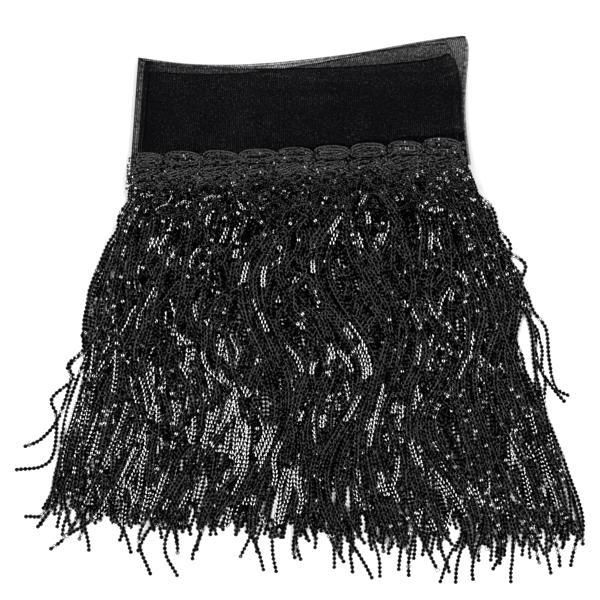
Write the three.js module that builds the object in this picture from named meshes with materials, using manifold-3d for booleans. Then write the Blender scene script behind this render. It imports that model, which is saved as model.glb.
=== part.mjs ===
// Sequin fringe trim, about a metre long, folded back and forth into a flat bundle.
//
// The trim has three made pieces: a sheer net heading, a band of sequinned leaves that is
// sewn on the net along its lower edge, and a fringe of sequin strands whose roots are fused
// into a narrow strip under that band. All three follow the same folded path of five runs.
//
// Units are millimetres. The bundle lies on z = 0 with its strands towards -Y. +X runs
// along the heading to the right, and +Z points up at the viewer.

import * as THREE from 'three';
import Module from 'manifold-3d';
import { mergeVertices } from 'three/addons/utils/BufferGeometryUtils.js';

// ---------------------------------------------------------------- driving dimensions

const HEADING = 78; // net, from its cut edge to its lower edge
const BAND = 18; // sequinned band, from its leaf tops to the lower edge
const LEAF_PITCH = 23; // one leaf motif along the band
const LEAF_SHIFT = 19; // how much of a motif lies before the strip's first end
const LEAF_STEPS = 6; // crossing lines in one motif
const LEAF_NOTCH = 0.62; // share of the band's height that is left between two leaves
const LEAF_SLANT = 0.6; // below 1, a leaf is steep on its left and tapers to the right
const LEAF_FULLNESS = 0.5; // below 1, the leaf tops are flatter
const LEAF_STAGGER = 0.45; // shift of the lower leaves along the band, in motifs
const UPPER_CREST = 0.72; // height of the upper leaves' crests, as a share of the band
const LOWER_CREST = 0.35; // height of the lower leaves' crests

const PLY = 1; // thickness of the net and of the band between its leaves
const LEAF_RELIEF = 0.3; // how far a leaf rises from the band
const CLEARANCE = 0.3; // between two layers or pieces that lie on each other

const STRIP = 3; // height of the narrow strip that holds the strands
const STRAND_COUNT = 48; // strands on one run
const STRAND_WIDTH = 2.4;
const STRAND_HEIGHT = 0.8;
const FULL_DROP = 238; // drop at which the strands reach their full spread
const REACH_LEFT = 203; // from root to tip along a strand's smooth route, at the left end
const REACH_RIGHT = 244; // the same at the right end, where the strands lie straighter
const TIP_SPREAD = 24; // how far the few longest strands stand out from their neighbours
const TIP_RARITY = 4; // the higher, the fewer strands stand out
const EXIT_Y = 70; // below this line every strand is clear of the heading
const ROUTE_SHARES = [0, 0.16, 0.36, 0.57, 0.79, 1]; // a strand's points below that line

const NET_STEPS = 12; // flat stretches of the net along one run
const NET_ROWS = [0, 7, 17, 33, 59, 78]; // the net's crossing rows, from its cut edge
const STRIP_STEPS = 4; // the same for the straight strip that holds the strands
const FOLD_STEPS = 6; // flat stretches around one fold

// The ends and fold lines of the strip, in order along it. Each row gives the outermost
// point of that line at the net's cut edge (top) and at its lower edge (foot), how far the
// line bulges outwards near the cut edge, and how far it wavers out and in again.
const TURNS = [
  // free end, at the bottom left
  { topX: -92.5, topY: 148, footX: -98, footY: 72, bulge: 0, waver: 0 },
  // first fold, on the right
  { topX: 103.5, topY: 169.5, footX: 107, footY: 90, bulge: 0, waver: 1.8 },
  // second fold, on the left
  { topX: -100.5, topY: 156, footX: -106, footY: 78, bulge: 0, waver: 0 },
  // third fold, on the right
  { topX: 93.5, topY: 158, footX: 106, footY: 82.5, bulge: 4.5, waver: 0 },
  // fourth fold, on the left
  { topX: -96, topY: 153.5, footX: -102, footY: 77.5, bulge: 0, waver: 0 },
  // free end, on top at the right
  { topX: 91, topY: 164.5, footX: 104.5, footY: 86, bulge: 4, waver: 0 },
];
const BULGE_RISE = 0.45; // below 1, a fold line bulges most near the cut edge
const WAVER_RISE = 0.6; // below 1, its waver is shorter near the cut edge

// The five runs from the floor up: how far each cut edge sags, where (a skew below 1 puts
// it left of the middle), and how evenly (a low roundness keeps it level up to the ends).
const RUNS = [
  { bow: 7.5, skew: 0.7, roundness: 1.6 },
  { bow: 10, skew: 0.75, roundness: 1.4 },
  { bow: 7.5, skew: 1, roundness: 0.5 },
  { bow: 7, skew: 1, roundness: 0.5 },
  { bow: 6, skew: 0.7, roundness: 1.5 },
];

// The lie of each run's strands: how far the outer tips spread to each side, the sideways
// sway of the whole curtain of strands, its phase, how often it turns from left to right,
// and how many locks the strands gather into.
const CURTAINS = [
  { spreadLeft: 60, spreadRight: 60, sway: 7, phase: 0.1, turns: 0.8, locks: 9 },
  { spreadLeft: 54, spreadRight: 72, sway: 8, phase: 0.6, turns: -0.9, locks: 7 },
  { spreadLeft: 62, spreadRight: 62, sway: 7, phase: 0.4, turns: 1, locks: 8 },
  { spreadLeft: 56, spreadRight: 70, sway: 9, phase: 0.85, turns: -0.7, locks: 6 },
  { spreadLeft: 58, spreadRight: 64, sway: 8, phase: 0.2, turns: 0.8, locks: 7 },
];
const SPREAD_EASE = 0.8; // below 1, the strands spread most near their roots
const SWAY_LENGTH = 175; // drop over which the sway repeats
const SWAY_START = 70; // drop over which the sway and the locks build up
const LOCK_PULL = 0.35; // how strongly the strands of a lock draw together at the tips

// Strands of the top run that stray from the curtain, by their place in the run. Their
// routes below the exit line are chosen point by point.
const STRAYS = [
  { place: 0, route: [[-109, 60], [-111, 50], [-117, 41], [-123, 27], [-129, 10], [-125, 0],
    [-129, -22], [-143, -62], [-148, -95], [-156, -124], [-168.5, -127]] },
  { place: 1, route: [[-106, 58], [-112, 40], [-119, 20], [-128, -9], [-133, -15],
    [-131, -22], [-141, -34], [-140, -42], [-148, -66], [-158.5, -79], [-169.5, -84]] },
  { place: 2, route: [[-103, 56], [-109, 38], [-116, 5], [-127, -20], [-142, -33],
    [-139, -42], [-152, -54], [-149, -66], [-151, -88], [-158.5, -96], [-174, -98]] },
  { place: 3, route: [[-100, 54], [-105, 38], [-112, 8], [-120, -20], [-130, -55],
    [-140, -92], [-150, -118], [-162, -135]] },
  { place: 44, route: [[101, 56], [107, 38], [117, 10], [128, -20], [139, -50],
    [149, -85], [158, -108], [166, -124], [174.5, -138]] },
  { place: 45, route: [[106, 58], [113, 40], [121, 24], [132, 9], [142, 0], [145, -21],
    [148, -33], [157, -47], [164.5, -56]] },
  { place: 46, route: [[110, 60], [119.5, 45], [124, 26], [132, 9], [140, -1],
    [144, -12], [146, -35], [151, -55], [158, -92], [166, -105], [169, -138]] },
  { place: 47, route: [[112.5, 66], [116, 55], [119, 44], [128, 37], [137, 32],
    [140.5, 27], [137, 17], [141, 11], [145, 0], [153, -11], [155, -30], [159, -47],
    [168.5, -53]] },
];

// ---------------------------------------------------------------- derived levels

const FACE_REACH = CLEARANCE / 2 + PLY + LEAF_RELIEF; // middle surface to the leaf crests
const BACK_REACH = CLEARANCE / 2 + PLY; // middle surface to the back of the net
const RIGHT_RADIUS = FACE_REACH + CLEARANCE / 2; // a right-hand fold has the leaves inside
const LEFT_RADIUS = BACK_REACH + CLEARANCE / 2; // a left-hand fold has the net inside

const lerp = THREE.MathUtils.lerp;
const smooth = (x) => THREE.MathUtils.smoothstep(x, 0, 1);
const fraction = (x) => x - Math.floor(x);
const jitter = (seed) => fraction(Math.sin(seed * 12.9898) * 43758.5453);

/** True for the runs that lie with their sequins up and go from left to right. */
const facesUp = (run) => run % 2 === 0;

/** Height of a run's middle surface, between its net and its band. */
function runLevel(run) {
  let level = BACK_REACH;
  for (let below = 0; below < run; below += 1) {
    level += 2 * (facesUp(below) ? RIGHT_RADIUS : LEFT_RADIUS);
  }
  return level;
}

/** Point of turn line number `turn` at a distance `across` from the cut edge. */
function turnPoint(turn, across) {
  const line = TURNS[turn];
  const share = across / HEADING;
  const isFold = turn > 0 && turn < TURNS.length - 1;
  const isRight = turn % 2 === 1;
  const reach = isRight ? RIGHT_RADIUS + BACK_REACH : LEFT_RADIUS + FACE_REACH;
  const inset = isFold ? reach : 0;
  const within = Math.min(1, share);
  const bulge = line.bulge * Math.sin(Math.PI * within ** BULGE_RISE) ** 2;
  const waver = line.waver * Math.sin(2 * Math.PI * within ** WAVER_RISE);
  const outward = bulge + waver - inset;
  return {
    x: lerp(line.topX, line.footX, share) + (isRight ? outward : -outward),
    y: lerp(line.topY, line.footY, share),
  };
}

/** The turn lines at the left and the right end of a run. */
function runEnds(run) {
  return facesUp(run) ? [run, run + 1] : [run + 1, run];
}

/** Point of a flat run in plan, u going from its left end to its right end. */
function runPoint(run, u, across) {
  const [leftTurn, rightTurn] = runEnds(run);
  const left = turnPoint(leftTurn, across);
  const right = turnPoint(rightTurn, across);
  const { bow, skew, roundness } = RUNS[run];
  const arch = Math.sin(Math.PI * Math.min(1, u ** skew));
  const sag = bow * Math.max(0, arch) ** roundness;
  const share = Math.max(0, 1 - across / HEADING);
  return { x: lerp(left.x, right.x, u), y: lerp(left.y, right.y, u) - sag * share };
}

/** Point of the folded strip, `offset` above its middle surface on the sequinned side. */
function stripPoint(station, across, offset) {
  if (station.fold === undefined) {
    const { x, y } = runPoint(station.run, station.u, across);
    const up = facesUp(station.run) ? offset : -offset;
    return new THREE.Vector3(x, y, runLevel(station.run) + up);
  }
  const isRight = station.fold % 2 === 1;
  const bend = isRight ? RIGHT_RADIUS : LEFT_RADIUS;
  const radius = isRight ? bend - offset : bend + offset;
  const axis = turnPoint(station.fold, across);
  const outward = radius * Math.cos(station.angle);
  const level = runLevel(station.fold - 1) + bend;
  return new THREE.Vector3(
    axis.x + (isRight ? outward : -outward),
    axis.y,
    level + radius * Math.sin(station.angle),
  );
}

/** Length of a run along the band. */
function runLength(run) {
  return runPoint(run, 1, HEADING).x - runPoint(run, 0, HEADING).x;
}

/** Crossing lines of one fold, without the two that belong to its runs. */
function foldStations(fold, travelled) {
  const stations = [];
  for (let step = 1; step < FOLD_STEPS; step += 1) {
    stations.push({ fold, angle: Math.PI * (step / FOLD_STEPS - 0.5), travelled });
  }
  return stations;
}

/** Crossing lines of the whole strip; `marksOf(length, travelled)` picks those of a run. */
function stripStations(marksOf) {
  const stations = [];
  let travelled = 0;
  for (let run = 0; run < RUNS.length; run += 1) {
    const length = runLength(run);
    for (const mark of marksOf(length, travelled)) {
      const share = mark / length;
      stations.push({ run, u: facesUp(run) ? share : 1 - share, travelled: travelled + mark });
    }
    travelled += length;
    if (run < RUNS.length - 1) {
      stations.push(...foldStations(run + 1, travelled));
      travelled += Math.PI * (facesUp(run) ? RIGHT_RADIUS : LEFT_RADIUS);
    }
  }
  return stations;
}

/** Marks that cut a run into equal steps, for a plain strip. */
function evenMarks(steps) {
  return (length) => Array.from({ length: steps + 1 }, (_, step) => (length * step) / steps);
}

/** Marks at every step of the leaf motifs that falls within a run, and its two ends. */
function leafMarks(length, travelled) {
  const pitch = LEAF_PITCH / LEAF_STEPS;
  const marks = [0];
  const lead = fraction((travelled + LEAF_SHIFT) / pitch) * pitch;
  for (let mark = pitch - lead; mark < length; mark += pitch) {
    const clearOfEnds = mark > pitch / 4 && mark < length - pitch / 4;
    if (clearOfEnds) marks.push(mark);
  }
  marks.push(length);
  return marks;
}

// ---------------------------------------------------------------- meshes from points

/** Collects quads and triangles of one closed body. */
class Shell {
  constructor() {
    this.positions = [];
  }

  triangle(a, b, c) {
    for (const corner of [a, b, c]) this.positions.push(corner.x, corner.y, corner.z);
  }

  quad(a, b, c, d) {
    this.triangle(a, b, c);
    this.triangle(a, c, d);
  }

  geometry() {
    const soup = new THREE.BufferGeometry();
    soup.setAttribute('position', new THREE.Float32BufferAttribute(this.positions, 3));
    return mergeVertices(soup);
  }
}

/**
 * One ply of the folded strip. `rowsOf(station)` lists its rows from the upper edge to the
 * lower one as { across, lift }. The back is flat, and has every row where `backFollows`,
 * and otherwise only the two edges.
 */
function plyGeometry(stations, rowsOf, back, front, backFollows) {
  const shell = new Shell();
  const columns = stations.map((station) => {
    const rows = rowsOf(station);
    const backRows = backFollows ? rows : [rows[0], rows[rows.length - 1]];
    return {
      face: rows.map((row) => stripPoint(station, row.across, front + row.lift)),
      under: backRows.map((row) => stripPoint(station, row.across, back)),
    };
  });

  for (let i = 0; i + 1 < columns.length; i += 1) {
    const here = columns[i];
    const next = columns[i + 1];
    const last = here.face.length - 1;
    const end = here.under.length - 1;
    for (let j = 0; j < last; j += 1) {
      shell.quad(here.face[j], here.face[j + 1], next.face[j + 1], next.face[j]);
    }
    for (let j = 0; j < end; j += 1) {
      shell.quad(here.under[j], next.under[j], next.under[j + 1], here.under[j + 1]);
    }
    shell.quad(here.face[0], next.face[0], next.under[0], here.under[0]);
    shell.quad(here.face[last], here.under[end], next.under[end], next.face[last]);
  }

  // A cap joins the rows of face and back in steps, and fans out where the back has fewer.
  const capped = [[columns[0], false], [columns[columns.length - 1], true]];
  for (const [column, turned] of capped) {
    const { face, under } = column;
    for (let j = 0; j + 1 < face.length; j += 1) {
      const low = backFollows ? under[j] : under[0];
      shell.triangle(low, face[turned ? j : j + 1], face[turned ? j + 1 : j]);
    }
    for (let j = 0; j + 1 < under.length; j += 1) {
      const high = backFollows ? face[j + 1] : face[face.length - 1];
      shell.triangle(under[j], turned ? high : under[j + 1], turned ? under[j + 1] : high);
    }
  }
  return shell.geometry();
}

/** A strand: a three-sided prism that follows its points, flat side down. */
function strandGeometry(points) {
  const sections = points.map((point, j) => {
    const before = points[Math.max(0, j - 1)];
    const after = points[Math.min(points.length - 1, j + 1)];
    const along = new THREE.Vector2(after.x - before.x, after.y - before.y).normalize();
    const side = new THREE.Vector3(-along.y, along.x, 0).multiplyScalar(STRAND_WIDTH / 2);
    return [
      point.clone().add(side),
      point.clone().sub(side),
      point.clone().add(new THREE.Vector3(0, 0, STRAND_HEIGHT)),
    ];
  });

  const shell = new Shell();
  for (let j = 0; j + 1 < sections.length; j += 1) {
    const [left, right, crest] = sections[j];
    const [nextLeft, nextRight, nextCrest] = sections[j + 1];
    shell.quad(left, nextLeft, nextRight, right);
    shell.quad(right, nextRight, nextCrest, crest);
    shell.quad(crest, nextCrest, nextLeft, left);
  }
  const [left, right, crest] = sections[0];
  const [tipLeft, tipRight, tipCrest] = sections[sections.length - 1];
  shell.triangle(left, right, crest);
  shell.triangle(tipLeft, tipCrest, tipRight);
  return shell.geometry();
}

// ---------------------------------------------------------------- net and leaf band

/** Height of the band at a place in its motif: steep on the left, tapering to the right. */
function leafHeight(phase) {
  const arch = Math.sin(Math.PI * phase ** LEAF_SLANT);
  return BAND * lerp(LEAF_NOTCH, 1, arch ** LEAF_FULLNESS);
}

/** How far the two staggered leaves of a motif rise at that place. */
function upperLeaf(phase) {
  return LEAF_RELIEF * Math.sin(Math.PI * phase ** LEAF_SLANT);
}

function lowerLeaf(phase) {
  return LEAF_RELIEF * Math.sin(Math.PI * fraction(phase + LEAF_STAGGER));
}

function netGeometry() {
  const rows = NET_ROWS.map((across) => ({ across, lift: 0 }));
  const stations = stripStations(evenMarks(NET_STEPS));
  return plyGeometry(stations, () => rows, -BACK_REACH, -CLEARANCE / 2, true);
}

function leafBandGeometry() {
  const rowsOf = (station) => {
    const phase = fraction((station.travelled + LEAF_SHIFT) / LEAF_PITCH);
    const height = leafHeight(phase);
    const isFold = station.fold !== undefined;
    return [
      { across: HEADING - height, lift: 0 },
      { across: HEADING - UPPER_CREST * height, lift: isFold ? 0 : upperLeaf(phase) },
      { across: HEADING - LOWER_CREST * height, lift: isFold ? 0 : lowerLeaf(phase) },
      { across: HEADING, lift: 0 },
    ];
  };
  const front = CLEARANCE / 2 + PLY;
  return plyGeometry(stripStations(leafMarks), rowsOf, CLEARANCE / 2, front, false);
}

// ---------------------------------------------------------------- strands in plan

/** Plan point of a curtain strand, at a drop below its root. */
function curtainPoint(run, u, drop) {
  const layout = CURTAINS[run];
  const root = runPoint(run, u, HEADING + CLEARANCE + STRIP / 2);
  const build = smooth(drop / SWAY_START);
  const pull = LOCK_PULL * build * Math.min(1, drop / FULL_DROP);
  const turn = 2 * Math.PI * layout.locks;
  const lockU = u + (pull * Math.sin(turn * u + run)) / turn;
  const spread = (drop / FULL_DROP) ** SPREAD_EASE;
  const fan = lerp(-layout.spreadLeft, layout.spreadRight, lockU) * spread;
  const swayTurn = drop / SWAY_LENGTH + layout.phase + layout.turns * lockU;
  const sway = layout.sway * build * Math.sin(2 * Math.PI * swayTurn);
  const width = runPoint(run, 1, HEADING).x - runPoint(run, 0, HEADING).x;
  return new THREE.Vector2(root.x + (lockU - u) * width + fan + sway, root.y - drop);
}

/** How far one strand reaches: most tips are nearly level, and a few stand out. */
function strandReach(run, index, u) {
  const uneven = jitter(run * 71 + index * 3.7);
  return lerp(REACH_LEFT, REACH_RIGHT, u) + TIP_SPREAD * uneven ** TIP_RARITY;
}

/** How far a curtain strand drops before its reach is used up. */
function tipDrop(run, u, reach) {
  const step = 2;
  let used = 0;
  let drop = 0;
  let here = curtainPoint(run, u, drop);
  while (used < reach) {
    drop += step;
    const next = curtainPoint(run, u, drop);
    used += next.distanceTo(here);
    here = next;
  }
  return drop;
}

/** Plan route of a curtain strand, from inside the strip to its tip. */
function curtainRoute(run, index) {
  const u = (index + 0.5) / STRAND_COUNT;
  const root = curtainPoint(run, u, 0);
  const exitDrop = root.y - EXIT_Y;
  const drop = tipDrop(run, u, strandReach(run, index, u));
  const drops = ROUTE_SHARES.map((share) => lerp(exitDrop, drop, share));
  return [root, ...drops.map((below) => curtainPoint(run, u, below))];
}

/** Plan route of a stray strand: like the curtain down to the exit line, then its own. */
function strayRoute(run, stray) {
  const [root, exit] = curtainRoute(run, stray.place);
  return [root, exit, ...stray.route.map(([x, y]) => new THREE.Vector2(x, y))];
}

// ---------------------------------------------------------------- strands in height

/** Nearest point of the segment a-b to p in plan, as a share of the segment. */
function nearestShare(a, b, p) {
  const along = new THREE.Vector2(b.x - a.x, b.y - a.y);
  const reach = (p.x - a.x) * along.x + (p.y - a.y) * along.y;
  return THREE.MathUtils.clamp(reach / along.lengthSq(), 0, 1);
}

/** Level that the strands laid so far leave free at a plan point. */
function freeLevel(x, y, laid) {
  const near = STRAND_WIDTH + CLEARANCE;
  let level = 0;
  for (const strand of laid) {
    for (let j = 0; j + 1 < strand.length; j += 1) {
      const a = strand[j];
      const b = strand[j + 1];
      const isFar = x < Math.min(a.x, b.x) - near || x > Math.max(a.x, b.x) + near
        || y < Math.min(a.y, b.y) - near || y > Math.max(a.y, b.y) + near;
      if (isFar) continue;
      const share = nearestShare(a, b, { x, y });
      const distance = Math.hypot(lerp(a.x, b.x, share) - x, lerp(a.y, b.y, share) - y);
      if (distance >= near) continue;
      level = Math.max(level, lerp(a.z, b.z, share) + STRAND_HEIGHT + CLEARANCE);
    }
  }
  return level;
}

/** Highest level that is asked for along the stretch between two plan points. */
function stretchLevel(from, to, laid) {
  const samples = 16;
  let level = 0;
  for (let k = 0; k <= samples; k += 1) {
    const share = k / samples;
    level = Math.max(level, freeLevel(lerp(from.x, to.x, share), lerp(from.y, to.y, share), laid));
  }
  return level;
}

/** Lays a strand on the floor and on what is laid already, and adds it to `laid`. */
function layStrand(run, route, laid) {
  const stripSide = facesUp(run) ? CLEARANCE / 2 : -CLEARANCE / 2 - PLY;
  const rootLevel = runLevel(run) + stripSide + (PLY - STRAND_HEIGHT) / 2;
  const levels = route.map((point, j) => {
    if (j < 2) return rootLevel;
    const above = stretchLevel(route[j - 1], point, laid);
    const below = j + 1 < route.length ? stretchLevel(point, route[j + 1], laid) : 0;
    return Math.max(above, below);
  });
  laid.push(route.map((point, j) => new THREE.Vector3(point.x, point.y, levels[j])));
}

/** Every strand of the fringe, laid run by run from the floor up, the strays last. */
function layFringe() {
  const laid = [];
  const topRun = RUNS.length - 1;
  const strayPlaces = STRAYS.map((stray) => stray.place);
  for (let run = 0; run < RUNS.length; run += 1) {
    for (let index = 0; index < STRAND_COUNT; index += 1) {
      const isStray = run === topRun && strayPlaces.includes(index);
      if (!isStray) layStrand(run, curtainRoute(run, index), laid);
    }
  }
  for (const stray of STRAYS) layStrand(topRun, strayRoute(topRun, stray), laid);
  return laid;
}

// ---------------------------------------------------------------- joining with manifold-3d

const wasm = await Module();
wasm.setup();

function toSolid(geometry) {
  return new wasm.Manifold(new wasm.Mesh({
    numProp: 3,
    vertProperties: new Float32Array(geometry.attributes.position.array),
    triVerts: new Uint32Array(geometry.index.array),
  }));
}

function toGeometry(solid) {
  const mesh = solid.getMesh();
  const geometry = new THREE.BufferGeometry();
  geometry.setAttribute('position', new THREE.BufferAttribute(mesh.vertProperties, 3));
  geometry.setIndex(new THREE.BufferAttribute(mesh.triVerts, 1));
  return geometry;
}

/** The narrow strip with every strand fused into it at the root. */
function fringeGeometry() {
  const rows = [HEADING + CLEARANCE, HEADING + CLEARANCE + STRIP];
  const rowsOf = () => rows.map((across) => ({ across, lift: 0 }));
  const front = CLEARANCE / 2 + PLY;
  const stations = stripStations(evenMarks(STRIP_STEPS));
  let fringe = toSolid(plyGeometry(stations, rowsOf, CLEARANCE / 2, front));
  for (const points of layFringe()) fringe = fringe.add(toSolid(strandGeometry(points)));
  return toGeometry(fringe);
}

// ---------------------------------------------------------------- the object

function fabricMesh(name, geometry, color, roughness) {
  geometry.computeVertexNormals();
  const material = new THREE.MeshStandardMaterial({ color, roughness, metalness: 0 });
  const mesh = new THREE.Mesh(geometry, material);
  mesh.name = name;
  return mesh;
}

const trim = new THREE.Group();
trim.add(fabricMesh('net_heading', netGeometry(), 0x16171c, 0.9));
trim.add(fabricMesh('leaf_band', leafBandGeometry(), 0x1c1a1f, 0.3));
trim.add(fabricMesh('fringe', fringeGeometry(), 0x18171a, 0.25));

export default trim;
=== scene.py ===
"""Folded sequin fringe trim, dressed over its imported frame.

The trim is a sheer net heading, a band of sequinned leaves along the net's lower edge, and
a fringe of sequin strands. It is folded back and forth in five runs and lies on a pale
floor. Sizes in the tables are millimetres, and every mesh is written in metres.
"""

from __future__ import annotations

import logging
import math
from dataclasses import dataclass, field
from enum import Enum

import bpy
import numpy as np
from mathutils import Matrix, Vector


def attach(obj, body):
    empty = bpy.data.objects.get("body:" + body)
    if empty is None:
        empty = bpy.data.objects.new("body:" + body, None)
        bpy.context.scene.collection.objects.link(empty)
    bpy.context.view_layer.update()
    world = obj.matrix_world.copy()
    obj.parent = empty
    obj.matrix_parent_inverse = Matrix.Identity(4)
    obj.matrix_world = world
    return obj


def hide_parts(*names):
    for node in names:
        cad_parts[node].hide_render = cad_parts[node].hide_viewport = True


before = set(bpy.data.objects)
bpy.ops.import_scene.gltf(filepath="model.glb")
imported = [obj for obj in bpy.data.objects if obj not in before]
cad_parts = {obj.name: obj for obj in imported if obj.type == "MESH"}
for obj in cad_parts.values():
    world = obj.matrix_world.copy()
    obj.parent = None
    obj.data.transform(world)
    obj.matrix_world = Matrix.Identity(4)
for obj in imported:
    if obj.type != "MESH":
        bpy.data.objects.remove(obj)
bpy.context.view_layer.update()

MM = 0.001
SEED = 20416
log = logging.getLogger("fringe_trim")


class Slot(Enum):
    """The record's material slots."""

    NET = "net_heading"
    BAND = "leaf_band"
    FRINGE = "fringe"


class Chain(Enum):
    """The kinds of sequin row that make up one leaf motif."""

    LEAF = "leaf"
    WAVE = "wave"


# ------------------------------------------------------------------ the folded strip


@dataclass(frozen=True)
class TurnLine:
    """An end or fold line of the strip, outermost point at the cut edge and at the foot."""

    top_x: float
    top_y: float
    foot_x: float
    foot_y: float
    bulge: float = 0.0
    waver: float = 0.0


@dataclass(frozen=True)
class Run:
    """One flat run of the strip, how its cut edge sags, and the lie of its strands."""

    bow: float
    skew: float
    roundness: float
    spread_left: float
    spread_right: float
    sway: float
    phase: float
    turns: float
    locks: int


@dataclass(frozen=True)
class Station:
    """A crossing line of the strip, on a run (u from left to right) or around a fold."""

    run: int
    u: float
    travelled: float
    fold: int = 0
    angle: float = 0.0


@dataclass(frozen=True)
class FoldedStrip:
    """The path that the net, the band and the strands' roots share."""

    heading: float = 78.0
    ply: float = 1.0
    relief: float = 0.3
    clearance: float = 0.3
    turns: tuple[TurnLine, ...] = (
        TurnLine(-92.5, 148, -98, 72),
        TurnLine(103.5, 169.5, 107, 90, waver=1.8),
        TurnLine(-100.5, 156, -106, 78),
        TurnLine(93.5, 158, 106, 82.5, bulge=4.5),
        TurnLine(-96, 153.5, -102, 77.5),
        TurnLine(91, 164.5, 104.5, 86, bulge=4.0),
    )
    runs: tuple[Run, ...] = (
        Run(7.5, 0.7, 1.6, 60, 60, 7, 0.1, 0.8, 9),
        Run(10, 0.75, 1.4, 54, 72, 8, 0.6, -0.9, 7),
        Run(7.5, 1, 0.5, 62, 62, 7, 0.4, 1, 8),
        Run(7, 1, 0.5, 56, 70, 9, 0.85, -0.7, 6),
        Run(6, 0.7, 1.5, 58, 64, 8, 0.2, 0.8, 7),
    )

    @property
    def face_reach(self) -> float:
        """From the middle surface to the leaf crests."""
        return self.clearance / 2 + self.ply + self.relief

    @property
    def back_reach(self) -> float:
        """From the middle surface to the back of the net."""
        return self.clearance / 2 + self.ply

    def bend(self, fold: int) -> float:
        """Radius of a fold's middle surface; right-hand folds have the leaves inside."""
        reach = self.face_reach if fold % 2 == 1 else self.back_reach
        return reach + self.clearance / 2

    @staticmethod
    def faces_up(run: int) -> bool:
        """True for the runs that lie with their sequins up and go from left to right."""
        return run % 2 == 0

    def level(self, run: int) -> float:
        """Height of a run's middle surface."""
        return self.back_reach + sum(2 * self.bend(fold) for fold in range(1, run + 1))

    def turn_point(self, turn: int, across: np.ndarray) -> tuple[np.ndarray, np.ndarray]:
        """Place of a turn line in plan.

        Args:
            turn: the line's number along the strip.
            across: distances from the cut edge.

        Returns:
            The x and y of each place, inside the fold's own curve.
        """
        line = self.turns[turn]
        share = np.asarray(across, float) / self.heading
        right = turn % 2 == 1
        inset = 0.0
        if 0 < turn < len(self.turns) - 1:
            inset = self.bend(turn) + (self.back_reach if right else self.face_reach)
        within = np.clip(share, 0, 1)
        swell = line.bulge * np.sin(math.pi * within**0.45) ** 2
        swell = swell + line.waver * np.sin(2 * math.pi * within**0.6)
        x = line.top_x + (line.foot_x - line.top_x) * share
        x = x + (swell - inset if right else inset - swell)
        return x, line.top_y + (line.foot_y - line.top_y) * share

    def run_point(
        self, run: int, u: np.ndarray, across: np.ndarray
    ) -> tuple[np.ndarray, np.ndarray]:
        """Place on a flat run in plan.

        Args:
            run: the run's number from the floor up.
            u: share of the run from its left end to its right end.
            across: distances from the cut edge.

        Returns:
            The x and y of each place.
        """
        left, right = (run, run + 1) if self.faces_up(run) else (run + 1, run)
        lx, ly = self.turn_point(left, across)
        rx, ry = self.turn_point(right, across)
        u = np.asarray(u, float)
        shape = self.runs[run]
        arch = np.sin(np.pi * np.clip(np.clip(u, 0, 1) ** shape.skew, 0, 1))
        sag = shape.bow * np.maximum(arch, 0) ** shape.roundness
        slack = np.maximum(0, 1 - np.asarray(across, float) / self.heading)
        return lx + (rx - lx) * u, ly + (ry - ly) * u - sag * slack

    def run_length(self, run: int) -> float:
        """Length of a run along the band."""
        ends = self.run_point(run, np.array([0.0, 1.0]), np.array([self.heading] * 2))[0]
        return float(ends[1] - ends[0])

    def run_starts(self) -> list[float]:
        """Distance along the strip at which each run begins."""
        starts, here = [], 0.0
        for run in range(len(self.runs)):
            starts.append(here)
            here += self.run_length(run) + math.pi * self.bend(run + 1)
        return starts

    @property
    def length(self) -> float:
        """Length of the whole strip."""
        last = len(self.runs) - 1
        return self.run_starts()[last] + self.run_length(last)

    def locate(self, travelled: float) -> Station:
        """Crossing line at a distance along the strip.

        Args:
            travelled: the distance from the strip's first end.

        Returns:
            The station on its run or around its fold.
        """
        starts = self.run_starts()
        run = max(i for i, start in enumerate(starts) if travelled >= start or i == 0)
        past = (travelled - starts[run]) / self.run_length(run)
        if past <= 1 or run == len(starts) - 1:
            return Station(run, past if self.faces_up(run) else 1 - past, travelled)
        turned = (travelled - starts[run] - self.run_length(run)) / self.bend(run + 1)
        return Station(run, 0.0, travelled, fold=run + 1, angle=turned - math.pi / 2)

    def stations(self, step: float, around: int) -> list[Station]:
        """Crossing lines of the whole strip.

        Args:
            step: spacing on the runs.
            around: flat stretches around each fold.

        Returns:
            The stations in order along the strip.
        """
        found = []
        for run, start in enumerate(self.run_starts()):
            length = self.run_length(run)
            count = round(length / step)
            found += [self.locate(start + length * i / count) for i in range(count)]
            found.append(self.locate(start + length * 0.999999))
            if run + 1 < len(self.runs):
                arc = math.pi * self.bend(run + 1)
                found += [self.locate(start + length + arc * i / around) for i in range(1, around)]
        return found

    def place(self, station: Station, across: np.ndarray, offset: np.ndarray) -> np.ndarray:
        """Points of one crossing line.

        Args:
            station: the crossing line.
            across: distances from the cut edge.
            offset: heights above the middle surface, on the sequinned side.

        Returns:
            An array of x, y and z rows.
        """
        across = np.asarray(across, float)
        offset = np.broadcast_to(np.asarray(offset, float), across.shape)
        if not station.fold:
            x, y = self.run_point(station.run, station.u, across)
            up = offset if self.faces_up(station.run) else -offset
            return np.stack([x, y, self.level(station.run) + up], axis=-1)
        right = station.fold % 2 == 1
        bend = self.bend(station.fold)
        radius = bend - offset if right else bend + offset
        x, y = self.turn_point(station.fold, across)
        outward = radius * math.cos(station.angle) * (1 if right else -1)
        z = self.level(station.fold - 1) + bend + radius * math.sin(station.angle)
        return np.stack([x + outward, y, z], axis=-1)


# ------------------------------------------------------------------ meshes and materials


def unit(rows: np.ndarray) -> np.ndarray:
    """Rows scaled to unit length."""
    return rows / np.maximum(np.linalg.norm(rows, axis=-1, keepdims=True), 1e-9)


def distances(path: np.ndarray) -> np.ndarray:
    """Distance travelled along a path at each of its points."""
    return np.concatenate([[0], np.cumsum(np.linalg.norm(np.diff(path, axis=0), axis=1))])


def points_at(path: np.ndarray, marks: np.ndarray) -> np.ndarray:
    """Points of a path at some distances along it."""
    length = distances(path)
    return np.stack([np.interp(marks, length, column) for column in path.T], axis=1)


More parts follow.
